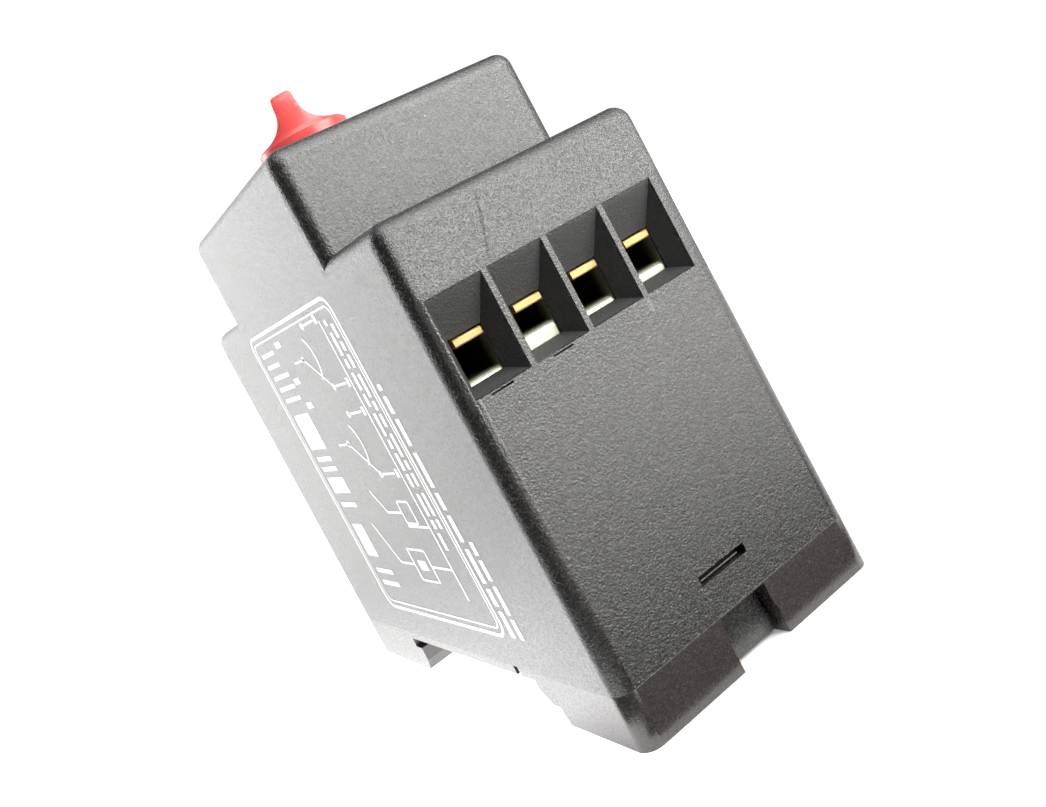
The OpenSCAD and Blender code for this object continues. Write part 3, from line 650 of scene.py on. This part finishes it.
class Print:
    """Thin printed marks on a flat face, in millimetres along it from origin; out points off the face."""

    # how far the ink stands over the face, and how deep it is rooted in it
    ink = 0.02 * MM
    root = 0.03 * MM

    def __init__(self, origin, u, v):
        self.origin, self.u, self.v = Vector(origin), Vector(u), Vector(v)
        self.out = self.u.cross(self.v)
        self.mesh = bmesh.new()

    def point(self, at, height):
        return self.origin + (self.u * at[0] + self.v * at[1]) * MM + self.out * height

    def slab(self, outline):
        """A closed plate over an outline, as thick as the ink and sunk a little into the face."""
        low = [self.mesh.verts.new(self.point(at, -self.root)) for at in outline]
        high = [self.mesh.verts.new(self.point(at, self.ink)) for at in outline]
        self.mesh.faces.new(high)
        self.mesh.faces.new(low[::-1])
        for i in range(len(outline)):
            k = (i + 1) % len(outline)
            self.mesh.faces.new((low[i], low[k], high[k], high[i]))

    def block(self, u0, v0, u1, v1):
        self.slab([(u0, v0), (u1, v0), (u1, v1), (u0, v1)])

    def dot(self, u, v, radius):
        sides = 20
        turns = [math.tau * i / sides for i in range(sides)]
        self.slab([(u + radius * math.cos(a), v + radius * math.sin(a)) for a in turns])

    def stroke(self, points, width, closed=False):
        """One line of even width through the points, with mitred corners."""
        points = [Vector(p) for p in points]
        count = len(points)
        rows = []
        for i, here in enumerate(points):
            before = points[i - 1] if i or closed else here
            after = points[(i + 1) % count] if i < count - 1 or closed else here
            come, leave = here - before, after - here
            come = (come if come.length else leave).normalized()
            leave = (leave if leave.length else come).normalized()
            side = Vector((-come.y, come.x)) + Vector((-leave.y, leave.x))
            side.normalize()
            side /= max(0.4, side.dot(Vector((-come.y, come.x))))
            edge = [here + side * width / 2, here - side * width / 2]
            rows.append([self.mesh.verts.new(self.point(p, h)) for p, h in (
                (edge[0], self.ink), (edge[1], self.ink), (edge[1], -self.root), (edge[0], -self.root))])
        last = count if closed else count - 1
        for i in range(last):
            a, b = rows[i], rows[(i + 1) % count]
            for k in range(4):
                self.mesh.faces.new((a[k], b[k], b[(k + 1) % 4], a[(k + 1) % 4]))
        if not closed:
            self.mesh.faces.new(rows[0])
            self.mesh.faces.new(rows[-1][::-1])

    def arc(self, u, v, radius, start, end, width, steps=16):
        turns = [math.radians(start + (end - start) * i / steps) for i in range(steps + 1)]
        self.stroke([(u + radius * math.cos(a), v + radius * math.sin(a)) for a in turns], width)

    def frame(self, u0, v0, u1, v1, radius, width):
        """A rectangle with rounded corners, drawn as one line."""
        corners = [(u1 - radius, v1 - radius, 0), (u0 + radius, v1 - radius, 90),
                   (u0 + radius, v0 + radius, 180), (u1 - radius, v0 + radius, 270)]
        path = []
        folds = 6
        for u, v, start in corners:
            for i in range(folds + 1):
                a = math.radians(start + 90 / folds * i)
                path.append((u + radius * math.cos(a), v + radius * math.sin(a)))
        self.stroke(path, width, closed=True)

    def bars(self, u, v0, v1, width, pattern):
        """A row of plain bars along v, with lengths and gaps taken from the pattern in turn."""
        at, i = v0, 0
        while at < v1:
            long, space = pattern[i % len(pattern)]
            self.block(u - width / 2, at, u + width / 2, min(at + long, v1))
            at += long + space
            i += 1

    def number(self, text, u, v, size):
        """A plain number centred on a point, for the dial's scale."""
        letters = bpy.data.curves.new("number", "FONT")
        letters.body = text
        letters.size = size * MM
        letters.extrude = (self.ink + self.root) / 2
        letters.align_x, letters.align_y = "CENTER", "CENTER"
        letters.resolution_u = 4
        holder = bpy.data.objects.new("number", letters)
        bpy.context.scene.collection.objects.link(holder)
        depsgraph = bpy.context.evaluated_depsgraph_get()
        solid = bpy.data.meshes.new_from_object(holder.evaluated_get(depsgraph))
        middle = self.point((u, v), (self.ink - self.root) / 2)
        turn = Matrix((self.u, self.v, self.out)).transposed().to_4x4()
        solid.transform(Matrix.Translation(middle) @ turn)
        self.mesh.from_mesh(solid)
        bpy.data.objects.remove(holder)
        bpy.data.curves.remove(letters)
        bpy.data.meshes.remove(solid)

    def finish(self, name, body):
        """Puts the marks in the scene as one piece, on the body they move with."""
        bmesh.ops.recalc_face_normals(self.mesh, faces=self.mesh.faces)
        piece = add_piece(name, self.mesh, "print")
        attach(piece, body)


def add_piece(name, mesh, material):
    """Turns a finished bmesh into an object in the scene, in its material."""
    data = bpy.data.meshes.new(name)
    mesh.to_mesh(data)
    mesh.free()
    data.materials.append(MATERIALS[material])
    piece = bpy.data.objects.new(name, data)
    bpy.context.scene.collection.objects.link(piece)
    return piece


def side_print():
    """A generic wiring diagram on the left side: frame, two changeover contacts, two coils, plain bars."""
    # u: millimetres towards the near end from the middle, v: millimetres above the rail side
    p = Print((LEFT, 0, 0), (0, -1, 0), (0, 0, 1))
    hair, thin, thick = 0.22, 0.3, 0.45
    bus = 12.2
    p.frame(-20, 10.4, 18, 54.6, 2.0, thick)
    p.frame(-19, 11.4, 17.2, 53.6, 1.3, hair)
    p.stroke([(bus, 14.5), (bus, 52.4)], thin)
    # rows of plain bars where the words stand
    words = [(2.3, 0.6), (1.2, 0.5), (3.0, 0.9), (1.7, 0.5)]
    p.bars(14.0, 21.5, 52.2, 0.75, words)
    p.bars(15.7, 24.5, 51.4, 0.75, words[1:])
    p.bars(19.8, 10.6, 43.0, 1.0, [(3.4, 0.7), (2.2, 0.7), (4.4, 0.9)])
    p.bars(21.9, 10.6, 23.0, 0.9, [(2.6, 0.6), (3.6, 0.7)])
    for top in (52.8, 40.4):
        # changeover contact: two fixed ends, a common end and its blade
        p.stroke([(5.5, top), (10.2, top)], thin)
        p.stroke([(5.5, top - 8.5), (10.2, top - 8.5)], thin)
        p.stroke([(-4.4, top - 3.9), (-0.4, top - 3.9), (5.0, top - 8.0)], thin)
        p.arc(1.2, top - 4.2, 3.4, -60, 55, thin)
        for u, v in ((5.5, top), (5.5, top - 8.5), (-0.4, top - 3.9)):
            p.dot(u, v, 0.5)
        for v in (top, top - 8.5):
            p.block(10.7, v - 0.6, 11.5, v + 0.6)
    # coils with their leads
    p.frame(0.2, 16.4, 5.9, 21.0, 0.3, thin)
    p.stroke([(5.9, 18.7), (bus, 18.7)], thin)
    p.stroke([(0.2, 18.7), (-4.6, 18.7), (-8.4, 24.5)], thin)
    p.block(1.8, 18.0, 4.3, 19.4)
    p.frame(5.6, 24.9, 9.2, 28.0, 0.3, thin)
    p.stroke([(5.4, 24.5), (bus, 24.5)], thin)
    p.stroke([(5.6, 26.4), (0.6, 26.4), (-2.2, 29.6)], thin)
    # solid blocks and rows of plain bars at the far side
    p.block(-17.4, 36.4, -10.4, 42.0)
    p.block(-17.4, 29.3, -10.4, 31.8)
    p.block(-17.4, 19.0, -13.2, 24.2)
    for up in (34.8, 33.2, 27.4, 16.6, 14.6):
        p.stroke([(-17.2, up), (-10.8, up)], 0.7)
    for up in (44.4, 46.2, 48.0, 49.8, 51.6):
        p.stroke([(-17.2, up), (-9.4 - (up % 2), up)], 0.6)
    for up in (52.2, 46.6, 42.9):
        p.stroke([(-8.8, up), (-6.4, up)], 0.9)
    p.finish("side_print", "case")


def dial_print():
    """Scale round the knob, numbered 0 to 10, and small generic signs beside the two lights."""
    p = Print((0, 0, PLATE_HIGH.z), (1, 0, 0), (0, 1, 0))
    ring = (KNOB_HIGH.x - KNOB_LOW.x) / 2 / MM + 1.0
    u0, v0 = KNOB_AXIS.x / MM, KNOB_AXIS.y / MM
    span = KNOB_TURN[1] - KNOB_TURN[0]
    highest = math.pi / 2 + span / 2
    ticks, per_number = 50, 5
    for i in range(ticks + 1):
        a = highest - span * i / ticks
        c, d = math.cos(a), math.sin(a)
        numbered = i % per_number == 0
        long, width = (1.5, 0.24) if numbered else (0.8, 0.16)
        p.stroke([(u0 + ring * c, v0 + ring * d), (u0 + (ring + long) * c, v0 + (ring + long) * d)], width)
        if numbered:
            p.number(str(i // per_number), u0 + (ring + 3.0) * c, v0 + (ring + 3.0) * d, 2.2)
    p.arc(u0, v0, ring, math.degrees(highest), math.degrees(highest - span), 0.2, steps=72)
    inset, line = 0.7, 0.25
    p.frame(PLATE_LOW.x / MM + inset, PLATE_LOW.y / MM + inset,
            PLATE_HIGH.x / MM - inset, PLATE_HIGH.y / MM - inset, 1.0, 0.2)
    # a coil for the supply beside one light, a contact for the output beside the other
    sign_gap = 1.8
    v = (LED_LOW.y + LED_HIGH.y) / 2 / MM
    u = LED_HIGH.x / MM - sign_gap - 5.0
    p.frame(u - 1.6, v - 1.0, u + 1.6, v + 1.0, 0.2, line)
    p.stroke([(u, v + 1.0), (u, v + 2.0)], line)
    p.stroke([(u, v - 1.0), (u, v - 2.0)], line)
    u = OUT_LOW.x / MM + sign_gap + 3.2
    p.stroke([(u, v - 1.9), (u, v - 0.8), (u + 1.3, v + 1.2)], line)
    p.stroke([(u, v + 0.9), (u, v + 2.0)], line)
    p.finish("dial_print", "case")


def knob_line():
    """White pointer line along the top of the grip, in a shallow step of ink."""
    turn = (KNOB_TURN[0] + KNOB_TURN[1]) / 2
    out = Vector((math.sin(turn), math.cos(turn), 0))
    p = Print((KNOB_AXIS.x, KNOB_AXIS.y, KNOB_HIGH.z), (out.y, -out.x, 0), out)
    p.block(-0.3, 0.7, 0.3, 4.3)
    p.finish("knob_pointer", "knob")


def coil_spring():
    """The latch spring as a round wire with closed ends."""
    wire = 0.35 * MM / 2
    mean = (SPRING_HIGH.x - SPRING_LOW.x) / 2 - wire
    middle = (SPRING_LOW + SPRING_HIGH) / 2
    start, end = SPRING_LOW.y + wire, SPRING_HIGH.y - wire
    turns, per_turn, sides = 7.5, 28, 10
    steps = int(turns * per_turn)
    # the first and last share of the wire lie close, each in a smaller share of the length
    shut, shut_rise = 0.12, 0.06
    mesh = bmesh.new()
    rings = []
    for i in range(steps + 1):
        t = i / steps
        open_part = min(max((t - shut) / (1 - 2 * shut), 0.0), 1.0)
        shares = (shut_rise * min(t, shut) / shut, (1 - 2 * shut_rise) * open_part,
                  shut_rise * max(t - (1 - shut), 0) / shut)
        rise = start + (end - start) * sum(shares)
        a = math.tau * turns * t
        outward = Vector((math.cos(a), 0, math.sin(a)))
        centre = Vector((middle.x, rise, middle.z)) + outward * mean
        ring = []
        for k in range(sides):
            b = math.tau * k / sides
            off = outward * wire * math.cos(b) + Vector((0, wire * math.sin(b), 0))
            ring.append(mesh.verts.new(centre + off))
        rings.append(ring)
    for a, b in zip(rings, rings[1:]):
        for k in range(sides):
            mesh.faces.new((a[k], a[(k + 1) % sides], b[(k + 1) % sides], b[k]))
    mesh.faces.new(rings[0][::-1])
    mesh.faces.new(rings[-1])
    bmesh.ops.recalc_face_normals(mesh, faces=mesh.faces)
    for face in mesh.faces:
        face.smooth = True
    piece = add_piece("spring_wire", mesh, "spring")
    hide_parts("latch_spring")
    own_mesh(piece)
    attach(piece, "case")


for name in WEARS:
    finish_node(name)

side_print()
dial_print()
knob_line()
coil_spring()

make_floor()
make_camera()
make_studio()
